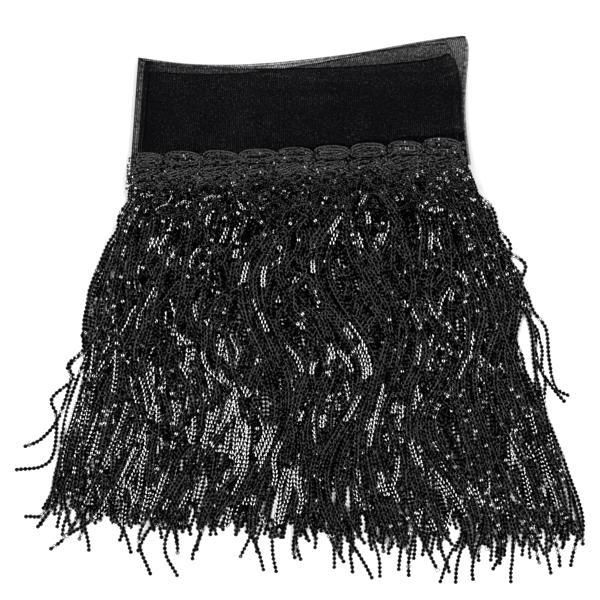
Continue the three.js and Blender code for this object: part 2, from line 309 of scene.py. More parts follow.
def add_mesh(
    name: str,
    points: np.ndarray,
    faces: list[np.ndarray],
    material: bpy.types.Material,
    smooth: bool = False,
) -> bpy.types.Object:
    """Makes an object from points and faces.

    Args:
        name: the piece's name.
        points: its points in millimetres.
        faces: rows of point numbers, one array for each corner count.
        material: its finish.
        smooth: whether it is shaded smooth.

    Returns:
        The new object, linked to the scene.
    """
    mesh = bpy.data.meshes.new(name)
    corners = np.concatenate([group.ravel() for group in faces])
    sides = np.concatenate([np.full(len(group), group.shape[1]) for group in faces])
    mesh.vertices.add(len(points))
    mesh.vertices.foreach_set("co", (points * MM).astype(np.float32).ravel())
    mesh.loops.add(len(corners))
    mesh.loops.foreach_set("vertex_index", corners.astype(np.int32))
    mesh.polygons.add(len(sides))
    mesh.polygons.foreach_set("loop_start", (np.cumsum(sides) - sides).astype(np.int32))
    mesh.polygons.foreach_set("use_smooth", np.full(len(sides), smooth))
    mesh.update(calc_edges=True)
    mesh.validate()
    mesh.materials.append(material)
    piece = bpy.data.objects.new(name, mesh)
    bpy.context.scene.collection.objects.link(piece)
    return piece


def add_value(piece: bpy.types.Object, name: str, values: np.ndarray) -> None:
    """Stores one number for each point, for the shader to read.

    Args:
        piece: the mesh object.
        name: the attribute's name.
        values: one value for each point.
    """
    layer = piece.data.attributes.new(name, "FLOAT", "POINT")
    layer.data.foreach_set("value", np.asarray(values, np.float32))


def add_map(piece: bpy.types.Object, name: str, places: np.ndarray) -> None:
    """Stores a UV map.

    Args:
        piece: the mesh object.
        name: the map's name.
        places: u and v of every point.
    """
    corners = np.empty(len(piece.data.loops), np.int32)
    piece.data.loops.foreach_get("vertex_index", corners)
    layer = piece.data.uv_layers.new(name=name)
    layer.data.foreach_set("uv", places[corners].astype(np.float32).ravel())


class Graph:
    """A short way to place and join the nodes of one tree."""

    def __init__(self, tree: bpy.types.NodeTree) -> None:
        """Takes over a tree and empties it."""
        self.tree = tree
        tree.nodes.clear()

    def add(self, kind: str, settings: dict | None = None, **inputs: object) -> bpy.types.Node:
        """Adds a node.

        Args:
            kind: the node's type.
            settings: its own options.
            **inputs: values or sockets for its inputs, with _ for a space.

        Returns:
            The new node.
        """
        node = self.tree.nodes.new(kind)
        for key, value in (settings or {}).items():
            setattr(node, key, value)
        for key, value in inputs.items():
            self.set(node.inputs[key.replace("_", " ")], value)
        return node

    def set(self, socket: bpy.types.NodeSocket, value: object) -> None:
        """Gives an input a value or joins it to an output."""
        if isinstance(value, bpy.types.NodeSocket):
            self.tree.links.new(value, socket)
        else:
            socket.default_value = value

    def math(self, operation: str, *values: object, clamp: bool = False) -> bpy.types.NodeSocket:
        """Adds a Math node.

        Args:
            operation: what it does.
            *values: numbers or sockets.
            clamp: whether its result is kept from 0 to 1.

        Returns:
            Its output.
        """
        node = self.add("ShaderNodeMath", {"operation": operation, "use_clamp": clamp})
        for socket, value in zip(node.inputs, values):
            self.set(socket, value)
        return node.outputs[0]

    def blend(self, share: object, low: object, high: object) -> bpy.types.NodeSocket:
        """Mixes two colours.

        Args:
            share: how much of the second.
            low: the first colour.
            high: the second colour.

        Returns:
            The mixed colour.
        """
        node = self.add("ShaderNodeMix", {"data_type": "RGBA"})
        self.set(node.inputs[0], share)
        self.set(node.inputs[6], low)
        self.set(node.inputs[7], high)
        return node.outputs[2]

    def span(self, value: object, low: float, high: float) -> bpy.types.NodeSocket:
        """Spreads a value of 0 to 1 over another range."""
        return self.math("MULTIPLY_ADD", value, high - low, low)

    def group(
        self, tree: bpy.types.NodeTree, place: bpy.types.NodeSocket, **inputs: object
    ) -> bpy.types.bpy_prop_collection:
        """Places a shared group.

        Args:
            tree: the group.
            place: the coordinates that it works on.
            **inputs: its other values, with _ for a space.

        Returns:
            Its outputs.
        """
        return self.add("ShaderNodeGroup", {"node_tree": tree}, Vector=place, **inputs).outputs

    def bump(
        self, shader: bpy.types.Node, height: object, strength: float, distance: float
    ) -> None:
        """Gives a shader a bump.

        Args:
            shader: the shader.
            height: the height socket.
            strength: how strong it is.
            distance: its depth in metres.
        """
        bump = self.add("ShaderNodeBump", Height=height, Strength=strength, Distance=distance)
        self.set(shader.inputs["Normal"], bump.outputs["Normal"])


def open_group(name: str, inputs: dict[str, tuple[str, object]], outputs: dict[str, str]) -> Graph:
    """Starts a node group.

    Args:
        name: its name.
        inputs: socket type and first value of each input.
        outputs: socket type of each output.

    Returns:
        The graph of the group, with its input and output nodes as entry and leave.
    """
    tree = bpy.data.node_groups.new(name, "ShaderNodeTree")
    for key, (kind, value) in inputs.items():
        socket = tree.interface.new_socket(key, in_out="INPUT", socket_type=kind)
        if kind == "NodeSocketFloat":
            socket.default_value = value
    for key, kind in outputs.items():
        tree.interface.new_socket(key, in_out="OUTPUT", socket_type=kind)
    graph = Graph(tree)
    graph.entry = tree.nodes.new("NodeGroupInput")
    graph.leave = tree.nodes.new("NodeGroupOutput")
    return graph


@dataclass
class Effects:
    """Node groups that more than one finish uses."""

    wear: bpy.types.NodeTree = field(init=False)
    weave: bpy.types.NodeTree = field(init=False)

    def __post_init__(self) -> None:
        """Builds each group once."""
        self.wear = self.make_wear()
        self.weave = self.make_weave()

    @staticmethod
    def make_wear() -> bpy.types.NodeTree:
        """Handling marks: soft patches and fine grain.

        Returns:
            A group with the outputs Patch, Grain and Height.
        """
        graph = open_group(
            "handling_marks",
            {
                "Vector": ("NodeSocketVector", None),
                "Patch Scale": ("NodeSocketFloat", 30.0),
                "Grain Scale": ("NodeSocketFloat", 900.0),
            },
            {"Patch": "NodeSocketFloat", "Grain": "NodeSocketFloat", "Height": "NodeSocketFloat"},
        )
        place = graph.entry.outputs["Vector"]
        patch = graph.add(
            "ShaderNodeTexNoise", Vector=place, Scale=graph.entry.outputs["Patch Scale"], Detail=2.0
        )
        grain = graph.add(
            "ShaderNodeTexNoise", Vector=place, Scale=graph.entry.outputs["Grain Scale"], Detail=1.0
        )
        soft = graph.math("MULTIPLY_ADD", patch.outputs["Fac"], 2.4, -0.7, clamp=True)
        graph.set(graph.leave.inputs["Patch"], soft)
        graph.set(graph.leave.inputs["Grain"], grain.outputs["Fac"])
        height = graph.math("MULTIPLY_ADD", soft, 0.3, grain.outputs["Fac"])
        graph.set(graph.leave.inputs["Height"], height)
        return graph.tree

    @staticmethod
    def make_weave() -> bpy.types.NodeTree:
        """Threads that run both ways across a map in metres.

        Returns:
            A group with the outputs Threads, from 0 between them to 1 on them, and Height.
        """
        graph = open_group(
            "crossing_threads",
            {
                "Vector": ("NodeSocketVector", None),
                "Rib Pitch": ("NodeSocketFloat", 0.0012),
                "Cross Pitch": ("NodeSocketFloat", 0.0011),
                "Cross Share": ("NodeSocketFloat", 0.6),
                "Waver": ("NodeSocketFloat", 0.0004),
            },
            {"Threads": "NodeSocketFloat", "Height": "NodeSocketFloat"},
        )
        entry = graph.entry.outputs
        parts = graph.add("ShaderNodeSeparateXYZ", Vector=entry["Vector"])
        drift = graph.add("ShaderNodeTexNoise", Vector=entry["Vector"], Scale=90.0, Detail=1.0)
        swing = graph.math("SUBTRACT", drift.outputs["Fac"], 0.5)
        waver = graph.math("MULTIPLY", swing, entry["Waver"])

        def threads(
            along: bpy.types.NodeSocket, pitch: bpy.types.NodeSocket
        ) -> bpy.types.NodeSocket:
            """Rounded ridges at an even pitch."""
            turn = graph.math("DIVIDE", graph.math("ADD", along, waver), pitch)
            wave = graph.math("SINE", graph.math("MULTIPLY", turn, 2 * math.pi))
            return graph.math("MULTIPLY_ADD", wave, 0.5, 0.5)

        ribs = threads(parts.outputs["X"], entry["Rib Pitch"])
        cross = threads(parts.outputs["Y"], entry["Cross Pitch"])
        both = graph.math("MAXIMUM", ribs, graph.math("MULTIPLY", cross, entry["Cross Share"]))
        graph.set(graph.leave.inputs["Threads"], both)
        graph.set(graph.leave.inputs["Height"], both)
        return graph.tree


def open_material(name: str) -> tuple[bpy.types.Material, Graph, bpy.types.Node]:
    """Starts a material.

    Args:
        name: its name.

    Returns:
        The material, its graph and its Principled shader.
    """
    material = bpy.data.materials.new(name)
    material.use_nodes = True
    graph = Graph(material.node_tree)
    shader = graph.add("ShaderNodeBsdfPrincipled")
    surface = graph.add("ShaderNodeOutputMaterial")
    graph.set(surface.inputs["Surface"], shader.outputs["BSDF"])
    return material, graph, shader


Colour = tuple[float, float, float, float]


@dataclass(frozen=True)
class NetFinish:
    """Sheer black net: ribs down its width, finer threads along it, a denser cut edge."""

    dark: Colour = (0.0001, 0.0001, 0.0003, 1)
    light: Colour = (0.0013, 0.0015, 0.0034, 1)
    thin: float = 0.07
    thick: float = 0.69
    tucked: float = 0.3
    speckle: float = 1.1
    patchiness: float = 0.12
    edge_cover: float = 0.35
    edge: float = 0.0011
    length: float = 1.04
    rib_pitch: float = 0.00123
    cross_pitch: float = 0.0011

    def dress(self, effects: Effects) -> bpy.types.Material:
        """Builds the material.

        Args:
            effects: the shared node groups.

        Returns:
            The net's material.
        """
        material, graph, shader = open_material("black_net")
        place = graph.add("ShaderNodeUVMap", {"uv_map": "cloth"})
        weave = graph.group(
            effects.weave,
            place.outputs["UV"],
            Rib_Pitch=self.rib_pitch,
            Cross_Pitch=self.cross_pitch,
        )
        marks = graph.group(effects.wear, place.outputs["UV"], Patch_Scale=45.0, Grain_Scale=650.0)
        threads = weave["Threads"]
        share = graph.math("MULTIPLY", threads, marks["Grain"])
        colour = graph.blend(share, self.dark, self.light)
        graph.set(shader.inputs["Base Color"], colour)
        parts = graph.add("ShaderNodeSeparateXYZ", Vector=place.outputs["UV"])
        cut = graph.math("LESS_THAN", parts.outputs["Y"], self.edge)
        first = graph.math("LESS_THAN", parts.outputs["X"], self.edge)
        last = graph.math("GREATER_THAN", parts.outputs["X"], self.length - self.edge)
        edge = graph.math("MAXIMUM", cut, graph.math("MAXIMUM", first, last))
        cover = graph.span(threads, self.thin, self.thick)
        patches = (self.patchiness, -0.5 * self.patchiness)
        uneven = graph.math("MULTIPLY_ADD", marks["Patch"], *patches)
        speckle = graph.math("MULTIPLY_ADD", marks["Grain"], self.speckle, -0.5 * self.speckle)
        uneven = graph.math("ADD", uneven, speckle)
        tuck = graph.add("ShaderNodeAttribute", {"attribute_name": "tuck"}).outputs["Fac"]
        cover = graph.math("ADD", cover, graph.math("MULTIPLY_ADD", tuck, self.tucked, uneven))
        selvedge = graph.math("MULTIPLY", edge, self.edge_cover)
        cover = graph.math("ADD", cover, selvedge, clamp=True)
        graph.set(shader.inputs["Alpha"], cover)
        graph.bump(shader, weave["Height"], strength=0.5, distance=0.0002)
        shader.inputs["Roughness"].default_value = 0.8
        shader.inputs["Specular IOR Level"].default_value = 0.03
        return material


@dataclass(frozen=True)
class SequinFinish:
    """Black moulded sequins: glossy, each a little different, with faint handling marks."""

    name: str = "black_sequin"
    dark: Colour = (0.0001, 0.0001, 0.0002, 1)
    light: Colour = (0.0007, 0.0007, 0.0009, 1)
    warm: Colour = (0.0012, 0.0006, 0.0008, 1)
    smooth: float = 0.04
    dull: float = 0.08
    ior: float = 1.55

    def dress(self, effects: Effects) -> bpy.types.Material:
        """Builds the material.

        Args:
            effects: the shared node groups.

        Returns:
            The sequins' material.
        """
        material, graph, shader = open_material(self.name)
        place = graph.add("ShaderNodeTexCoord")
        marks = graph.group(
            effects.wear, place.outputs["Object"], Patch_Scale=28.0, Grain_Scale=1500.0
        )
        tone = graph.add("ShaderNodeAttribute", {"attribute_name": "tone"})
        share = graph.math("MULTIPLY", tone.outputs["Fac"], marks["Grain"])
        plain = graph.blend(graph.math("MULTIPLY", share, 1.6, clamp=True), self.dark, self.light)
        warmth = graph.math("MULTIPLY", marks["Patch"], 0.6)
        graph.set(shader.inputs["Base Color"], graph.blend(warmth, plain, self.warm))
        dullness = graph.math("MULTIPLY_ADD", marks["Grain"], 0.4, -0.2)
        dullness = graph.math("ADD", tone.outputs["Fac"], dullness, clamp=True)
        graph.set(shader.inputs["Roughness"], graph.span(dullness, self.smooth, self.dull))
        graph.bump(shader, marks["Height"], strength=0.12, distance=0.0001)
        shader.inputs["IOR"].default_value = self.ior
        shader.inputs["Specular IOR Level"].default_value = 1.0
        return material


@dataclass(frozen=True)
class ThreadFinish:
    """Matt black sewing thread with the slant of its twist."""

    dark: Colour = (0.0001, 0.0001, 0.0001, 1)
    light: Colour = (0.0005, 0.0005, 0.0006, 1)

    def dress(self, effects: Effects) -> bpy.types.Material:
        """Builds the material.

        Args:
            effects: the shared node groups.

        Returns:
            The thread's material.
        """
        material, graph, shader = open_material("black_thread")
        place = graph.add("ShaderNodeTexCoord")
        turned = graph.add("ShaderNodeMapping", Vector=place.outputs["Object"])
        turned.inputs["Rotation"].default_value = (0.0, 0.0, math.radians(35))
        twist = graph.group(
            effects.weave, turned.outputs["Vector"], Rib_Pitch=0.0004, Cross_Share=0.0
        )
        marks = graph.group(effects.wear, place.outputs["Object"])
        share = graph.math("MULTIPLY", twist["Threads"], marks["Grain"])
        graph.set(shader.inputs["Base Color"], graph.blend(share, self.dark, self.light))
        graph.bump(shader, twist["Height"], strength=0.4, distance=0.0001)
        shader.inputs["Roughness"].default_value = 0.85
        shader.inputs["Specular IOR Level"].default_value = 0.01
        return material


@dataclass(frozen=True)
class FloorFinish:
    """Plain pale paper."""

    pale: Colour = (0.89, 0.89, 0.89, 1)
    paler: Colour = (0.91, 0.91, 0.91, 1)

    def dress(self, effects: Effects) -> bpy.types.Material:
        """Builds the material.

        Args:
            effects: the shared node groups.

        Returns:
            The floor's material.
        """
        material, graph, shader = open_material("pale_paper")
        place = graph.add("ShaderNodeTexCoord")
        marks = graph.group(effects.wear, place.outputs["Object"], Patch_Scale=3.0)
        colour = graph.blend(marks["Patch"], self.pale, self.paler)
        graph.set(shader.inputs["Base Color"], colour)
        shader.inputs["Roughness"].default_value = 0.9
        shader.inputs["Specular IOR Level"].default_value = 0.1
        return material


# ------------------------------------------------------------------ net heading


@dataclass
class NetHeading:
    """The sheer net, one thin sheet that follows the folded strip."""

    strip: FoldedStrip
    finish: NetFinish
    step: float = 3.0
    around: int = 10
    ripple: float = 0.16
    crease: float = 0.22
    tuck_reach: float = 5.0
    tuck_right: float = 0.25

    def lift(self, travelled: float, across: np.ndarray) -> np.ndarray:
        """Height of the sheet within its ply: shallow ripples and a few soft creases."""
        slow = np.sin(travelled / 9.0 + across / 23.0) * np.sin(across / 13.0 + travelled / 41.0)
        creases = np.sin(travelled / 3.7 + 2.2 * np.sin(across / 17.0)) ** 5
        return self.ripple * slow + self.crease * creases * np.exp(-across / 40.0)

    def tuck(self, station: Station) -> float:
        """How much the net is drawn together: most around a left-hand fold, fading beside it."""
        if station.fold:
            return self.tuck_right if station.fold % 2 == 1 else 1.0
        strip = self.strip
        past = station.travelled - strip.run_starts()[station.run]
        left = strip.run_length(station.run) - past
        most = 0.0
        for fold, gap in ((station.run, past), (station.run + 1, left)):
            if 0 < fold < len(strip.runs):
                drawn = self.tuck_right if fold % 2 == 1 else 1.0
                most = max(most, drawn * math.exp(-gap / self.tuck_reach))
        return most

    def build(self, effects: Effects) -> bpy.types.Object:
        """Builds and dresses the sheet.

        Args:
            effects: the shared node groups.

        Returns:
            The net's object.
        """
        strip = self.strip
        across = np.linspace(0, strip.heading, round(strip.heading / self.step) + 1)
        middle = -(strip.clearance + strip.ply) / 2
        stations = strip.stations(self.step, self.around)
        columns = [
            strip.place(s, across, middle + self.lift(s.travelled, across) * (0 if s.fold else 1))
            for s in stations
        ]
        rows = len(across)
        points = np.concatenate(columns)
        i, j = np.meshgrid(np.arange(len(columns) - 1), np.arange(rows - 1), indexing="ij")
        corner = (i * rows + j).ravel()
        faces = np.stack([corner, corner + 1, corner + rows + 1, corner + rows], axis=1)
        piece = add_mesh("net_sheet", points, [faces], self.finish.dress(effects), smooth=True)
        travelled = np.repeat([s.travelled for s in stations], rows)
        add_map(piece, "cloth", np.stack([travelled, np.tile(across, len(stations))], axis=1) * MM)
        tucks = np.array([self.tuck(s) for s in stations])
        add_value(piece, "tuck", np.repeat(tucks, rows))
        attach(piece, "root")
        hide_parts(Slot.NET.value)
        log.info("%s: %d faces, %.0f mm of net", piece.name, len(faces), strip.length)
        return piece


# ------------------------------------------------------------------ sequins and thread


@dataclass
class SequinRows:
    """Gathers sequins and the thread that runs over them, and turns them into meshes."""

    sides: int = 8
    flat: float = 0.67
    # The thread strip is wider than a real sewing thread. It is partly thread and partly painted
    # shade: a black line down the middle of each row, where the sequins' centres are dark.
    thread_width: float = 0.6
    thread_rise: float = 0.05
    centres: list[np.ndarray] = field(default_factory=list)
    alongs: list[np.ndarray] = field(default_factory=list)
    normals: list[np.ndarray] = field(default_factory=list)
    radii: list[np.ndarray] = field(default_factory=list)
    cups: list[np.ndarray] = field(default_factory=list)
    tones: list[np.ndarray] = field(default_factory=list)

    def add_row(
        self,
        centres: np.ndarray,
        alongs: np.ndarray,
        normals: np.ndarray,
        radii: np.ndarray,
        cups: np.ndarray,
        tones: np.ndarray,
    ) -> None:
        """Adds one threaded row.

        Args:
            centres: the middle of each sequin.
            alongs: the row's direction at each.
            normals: the way each one faces.
            radii: their radii.
            cups: the slope of their cupped rings, in degrees.
            tones: 0 for the darkest and glossiest to 1 for the palest.
        """
        self.centres.append(centres)
        self.normals.append(unit(normals))
        flat = alongs - np.sum(alongs * self.normals[-1], axis=1, keepdims=True) * self.normals[-1]
        self.alongs.append(unit(flat))
        self.radii.append(np.broadcast_to(radii, len(centres)))
        self.cups.append(np.broadcast_to(cups, len(centres)))
        self.tones.append(tones)

    def take(self, other: SequinRows) -> None:
        """Adds all the rows of another gathering."""
        for name in ("centres", "alongs", "normals", "radii", "cups", "tones"):
            getattr(self, name).extend(getattr(other, name))

    def count(self) -> int:
        """Number of sequins gathered so far."""
        return sum(len(row) for row in self.centres)

    def sequin_piece(self, name: str, material: bpy.types.Material) -> bpy.types.Object:
        """Joins all the sequins into one piece.

        Args:
            name: the piece's name.
            material: its finish.

        Returns:
            The object, each sequin in its own cell of the bake map.
        """
        centre = np.concatenate(self.centres)[:, None, :]
        along = np.concatenate(self.alongs)[:, None, :]
        normal = np.concatenate(self.normals)[:, None, :]
        radius = np.concatenate(self.radii)[:, None, None]
        side = np.cross(normal, along)
        angle = (np.arange(self.sides) + 0.5) * 2 * math.pi / self.sides
        ring = np.cos(angle)[None, :, None] * along + np.sin(angle)[None, :, None] * side
        slope = np.tan(np.radians(np.concatenate(self.cups)))[:, None, None]
        dip = (1 - self.flat) * slope * radius * normal
        inner = centre + self.flat * radius * ring - dip
        points = np.concatenate([centre + radius * ring, inner], axis=1)
        count, per = len(centre), 2 * self.sides
        here = np.arange(self.sides)
        there = (here + 1) % self.sides
        start = per * np.arange(count)[:, None]
        rim = np.stack([here, there, there + self.sides, here + self.sides], axis=1)
        rims = (start[:, :, None] + rim[None]).reshape(-1, 4)
        middles = start + self.sides + here[None]
        piece = add_mesh(name, points.reshape(-1, 3), [rims, middles], material)
        add_value(piece, "tone", np.repeat(np.concatenate(self.tones), per))

        cells = math.ceil(math.sqrt(count))
        spot = np.arange(count)
        corner = np.stack([spot % cells, spot // cells], axis=1) + 0.5
        spoke = np.stack([np.cos(angle), np.sin(angle)], axis=1)
        local = 0.42 * np.concatenate([spoke, self.flat * spoke])
        add_map(piece, "OFBake", ((corner[:, None, :] + local[None]) / cells).reshape(-1, 2))
        return piece

    def thread_piece(self, name: str, material: bpy.types.Material) -> bpy.types.Object:
        """Joins the threads of all rows into one piece.

        Args:
            name: the piece's name.
            material: its finish.

        Returns:
            The object, each row in its own line of the bake map.
        """
        points, faces, flat, start = [], [], [], 0
        lines = sum(1 for row in self.centres if len(row) > 1)
        line = 0
        for centre, along, normal in zip(self.centres, self.alongs, self.normals):
            if len(centre) < 2:
                continue
            # Partly thread, partly painted shade: the strip is wider than the real thread, to
            # darken the middle of each row.
            side = np.cross(normal, along) * self.thread_width / 2
            top = centre + normal * self.thread_rise
            points.append(np.stack([top - side, top + side], axis=1).reshape(-1, 3))
            step = start + 2 * np.arange(len(centre) - 1)
            faces.append(np.stack([step, step + 1, step + 3, step + 2], axis=1))
            u = np.linspace(0.01, 0.99, len(centre))
            low = np.stack([u, np.full(len(u), (line + 0.2) / lines)], axis=1)
            high = np.stack([u, np.full(len(u), (line + 0.8) / lines)], axis=1)
            flat.append(np.stack([low, high], axis=1).reshape(-1, 2))
            start += 2 * len(centre)
            line += 1
        piece = add_mesh(name, np.concatenate(points), [np.concatenate(faces)], material)
        add_map(piece, "OFBake", np.concatenate(flat))
        return piece


# ------------------------------------------------------------------ leaf band


@dataclass(frozen=True)
class Leaf:
    """One leaf of the motif: closed rows, nested inside each other."""

    along: float
    above: float
    half_length: float
    half_height: float
    slant: float
    blunt: float = 2.8
    taper: float = 2.0


@dataclass
class LeafBand:
    """The repeated leaf motif, sequins sewn on the net in nested rows."""

    strip: FoldedStrip
    finish: SequinFinish
    thread: ThreadFinish
    pitch: float = 23.0
    shift: float = 19.0
    radius: float = 0.92
    spacing: float = 1.65
    look: float = 0.3
    row_gap: float = 2.0
    crowding: float = 1.4
    rise: float = 0.2
    tilt: float = 3.0
    cup: float = 35.0
    end_gap: float = 0.6
    slant_spread: float = 3.0
    size_spread: float = 0.04
    tilt_spread: float = 3.5
    facing_spread: float = 0.05
    wave_height: float = 1.1
    wave_size: float = 0.92
    leaves: tuple[Leaf, ...] = (
        Leaf(10.8, 15.3, 10.7, 4.1, -2.0),
        Leaf(8.2, 7.2, 11.0, 3.4, 15.0, 2.4, 2.0),
        Leaf(19.4, 3.4, 5.2, 1.9, -32.0, 2.0, 2.0),
    )
    waves: tuple[float, ...] = (11.6, 9.7, 7.8, 5.9, 4.0, 2.1, 0.2, -1.7)

    def rows_of(self, leaf: Leaf, slant: float, size: float) -> list[np.ndarray]:
        """The rows of one leaf, blunt at its left end and tapering to the right.

        Args:
            leaf: the leaf.
            slant: its angle in degrees.
            size: its scale.

        Returns:
            Paths in the motif's plane, as along and above.
        """
        turn = math.radians(slant)
        found = []
        inset = 0.0
        while leaf.half_height * size - inset > -0.4:
            long = leaf.half_length * size - inset
            high = max(0.0, leaf.half_height * size - inset)
            angle = np.linspace(-math.pi, math.pi if high else 0, 240)
            c, w = np.cos(angle), np.sin(angle)
            power = 2 / np.where(c < 0, leaf.blunt, leaf.taper)
            x = long * np.sign(c) * abs(c) ** power
            y = high * np.sign(w) * abs(w) ** power
            cos, sin = math.cos(turn), math.sin(turn)
            x, y = x * cos - y * sin, x * sin + y * cos
            found.append(np.stack([leaf.along + x, leaf.above + y], axis=1))
            inset += self.row_gap
        return found

    def motif_rows(self, rng: np.random.Generator) -> list[tuple[Chain, np.ndarray]]:
        """The rows of one motif, a little different each time.

        Args:
            rng: the source of the small differences.

        Returns:
            The kind and the path of each row.
        """
        rows = []
        for leaf in self.leaves:
            slant = leaf.slant + rng.normal(0, self.slant_spread)
            size = 1 + rng.normal(0, self.size_spread)
            rows += [(Chain.LEAF, path) for path in self.rows_of(leaf, slant, size)]
        for above in self.waves:
            x = np.linspace(-0.5, self.pitch - 0.5, 60)
            turn = 2 * math.pi * x / self.pitch * 2 + above + rng.uniform(0, 1.5)
            y = above + self.wave_height * np.sin(turn)
            rows.append((Chain.WAVE, np.stack([x, y], axis=1)))
        return rows

    def sequin_places(self, path: np.ndarray) -> tuple[np.ndarray, np.ndarray]:
        """Even places along a path.

        Args:
            path: the row's path.

        Returns:
            The places and the row's direction at each.
        """
        end = distances(path)[-1]
        marks = np.linspace(0, end, max(2, round(end / self.spacing) + 1))
        ahead = points_at(path, marks + self.look)
        return points_at(path, marks), unit(ahead - points_at(path, marks - self.look))

    def on_strip(
        self, spots: np.ndarray, heading: np.ndarray, start: float
    ) -> tuple[np.ndarray, ...]:
        """Lays places of the motif's plane on the folded strip.

        Args:
            spots: along and above of each place.
            heading: the row's direction at each.
            start: distance along the strip at which the motif begins.

        Returns:
            Centres, row directions and normals.
        """
        strip = self.strip
        lift = strip.clearance / 2 + strip.ply + self.rise
        centres, alongs, normals = [], [], []
        for (a, b), (da, db) in zip(spots, heading):
            station = strip.locate(start + a)
            across = np.array([strip.heading - b, strip.heading - b - 0.5])
            here = strip.place(station, across, lift)
            ahead = strip.place(strip.locate(start + a + 0.5), across[:1], lift)[0]
            forward, up = unit(ahead - here[0]), unit(here[1] - here[0])
            centres.append(here[0])
            alongs.append(forward * da + up * db)
            normals.append(np.cross(forward, up))
        return np.array(centres), unit(np.array(alongs)), unit(np.array(normals))

    def build(self, effects: Effects) -> list[bpy.types.Object]:
        """Builds and dresses the band.

        Args:
            effects: the shared node groups.

        Returns:
            The sequins and their thread.
        """
        rng = np.random.default_rng(SEED)
        rows = SequinRows(sides=6, flat=0.52, thread_width=0.45)
        strip = self.strip
        motifs = math.ceil((strip.length + self.shift) / self.pitch)
        for motif in range(motifs):
            start = motif * self.pitch - self.shift
            taken = np.empty((0, 2))
            for kind, path in self.motif_rows(rng):
                spots, heading = self.sequin_places(path)
                along = start + spots[:, 0]
                keep = (along > self.end_gap) & (along < strip.length - self.end_gap)
                if len(taken):
                    gaps = np.linalg.norm(spots[:, None, :] - taken[None], axis=2).min(axis=1)
                    keep &= gaps > self.crowding
                if keep.sum() < 2:
                    continue
                spots, heading = spots[keep], heading[keep]
                taken = np.concatenate([taken, spots])
                centres, alongs, normals = self.on_strip(spots, heading, start)
                lean = self.tilt + rng.normal(0, self.tilt_spread, len(spots))
                lean = np.radians(lean)[:, None]
                normals = normals * np.cos(lean) + alongs * np.sin(lean)
                normals = normals + rng.normal(0, self.facing_spread, normals.shape)
                radius = self.radius * (self.wave_size if kind is Chain.WAVE else 1.0)
                tones = rng.uniform(0.2, 1, len(spots))
                rows.add_row(centres, alongs, normals, radius, self.cup, tones)
        sequins = rows.sequin_piece("leaf_sequins", self.finish.dress(effects))
        stitches = rows.thread_piece("leaf_threads", self.thread.dress(effects))
        for piece in (sequins, stitches):
            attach(piece, "root")
            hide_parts(Slot.BAND.value)
        log.info("%s: %d sequins in %d motifs", sequins.name, rows.count(), motifs)
        return [sequins, stitches]


# ------------------------------------------------------------------ fringe


@dataclass
class Pile:
    """Height of what already lies on the floor, on an even grid."""

    left: float = -200.0
    low: float = -190.0
    width: int = 400
    depth: int = 300
    heights: np.ndarray = field(init=False)

    def __post_init__(self) -> None:
        """Starts with a bare floor."""
        self.heights = np.zeros((self.width, self.depth))

    def cells(self, places: np.ndarray) -> tuple[np.ndarray, np.ndarray]:
        """Grid cells under some places."""
        i = np.clip((places[:, 0] - self.left).astype(int), 0, self.width - 1)
        j = np.clip((places[:, 1] - self.low).astype(int), 0, self.depth - 1)
        return i, j

    def under(self, places: np.ndarray, side: np.ndarray, reach: float) -> np.ndarray:
        """Height of the pile under a strand.

        Args:
            places: points along the strand, in plan.
            side: its sideways direction at each.
            reach: half of its width.

        Returns:
            The highest of three spots across the strand, for each place.
        """
        spots = [self.heights[self.cells(places + side * k * reach)] for k in (-0.8, 0, 0.8)]
        return np.max(spots, axis=0)

    def lay(self, places: np.ndarray, side: np.ndarray, reach: float, top: np.ndarray) -> None:
        """Puts a strand on the pile.

        Args:
            places: points along the strand, in plan.
            side: its sideways direction at each.
            reach: half of its width.
            top: height of its upper side.
        """
        for k in (-0.9, -0.45, 0, 0.45, 0.9):
            np.maximum.at(self.heights, self.cells(places + side * k * reach), top)


@dataclass(frozen=True)
class Stray:
    """A strand of the top run that leaves the curtain, by its place in the run."""

    place: int
    route: tuple[tuple[float, float], ...]


STRAYS = (
    Stray(0, ((-109, 60), (-111, 50), (-117, 41), (-123, 27), (-129, 10), (-125, 0),
              (-129, -22), (-143, -62), (-148, -95), (-156, -124), (-168.5, -127))),
    Stray(1, ((-106, 58), (-112, 40), (-119, 20), (-128, -9), (-133, -15), (-131, -22),
              (-141, -34), (-140, -42), (-148, -66), (-158.5, -79), (-169.5, -84))),
    Stray(2, ((-103, 56), (-109, 38), (-116, 5), (-127, -20), (-142, -33), (-139, -42),
              (-152, -54), (-149, -66), (-151, -88), (-158.5, -96), (-174, -98))),
    Stray(3, ((-100, 54), (-105, 38), (-112, 8), (-120, -20), (-130, -55), (-140, -92),
              (-150, -118), (-162, -135))),
    Stray(6, ((-80, 40), (-88, 0), (-102, -50), (-122, -100), (-141, -136), (-154, -148))),
    Stray(9, ((-67, 40), (-74, 0), (-86, -50), (-104, -95), (-122, -124), (-143, -139))),
    Stray(12, ((-54, 38), (-60, 0), (-71, -60), (-86, -112), (-98, -140), (-91, -163))),
    Stray(16, ((-38, 38), (-44, 0), (-52, -50), (-62, -100), (-82, -142), (-74, -165))),
    Stray(44, ((101, 56), (107, 38), (117, 10), (128, -20), (139, -50), (149, -85),
               (158, -108), (166, -124), (174.5, -138))),
    Stray(45, ((106, 58), (113, 40), (121, 24), (132, 9), (142, 0), (145, -21),
               (148, -33), (157, -47), (164.5, -56))),
    Stray(46, ((110, 60), (119.5, 45), (124, 26), (132, 9), (140, -1), (144, -12),
               (146, -35), (151, -55), (158, -92), (166, -105), (169, -138))),
    Stray(47, ((112.5, 66), (116, 55), (119, 44), (128, 37), (137, 32), (140.5, 27),
               (137, 17), (141, 11), (145, 0), (153, -11), (155, -30), (159, -47),
               (168.5, -53))),
)


@dataclass
class Strand:
    """One strand: its route in plan, and how its sequins turn along it."""

    route: np.ndarray
    lock: int
    rank: float
    fine: bool = False
    roll: np.ndarray | None = None
    flash: np.ndarray | None = None


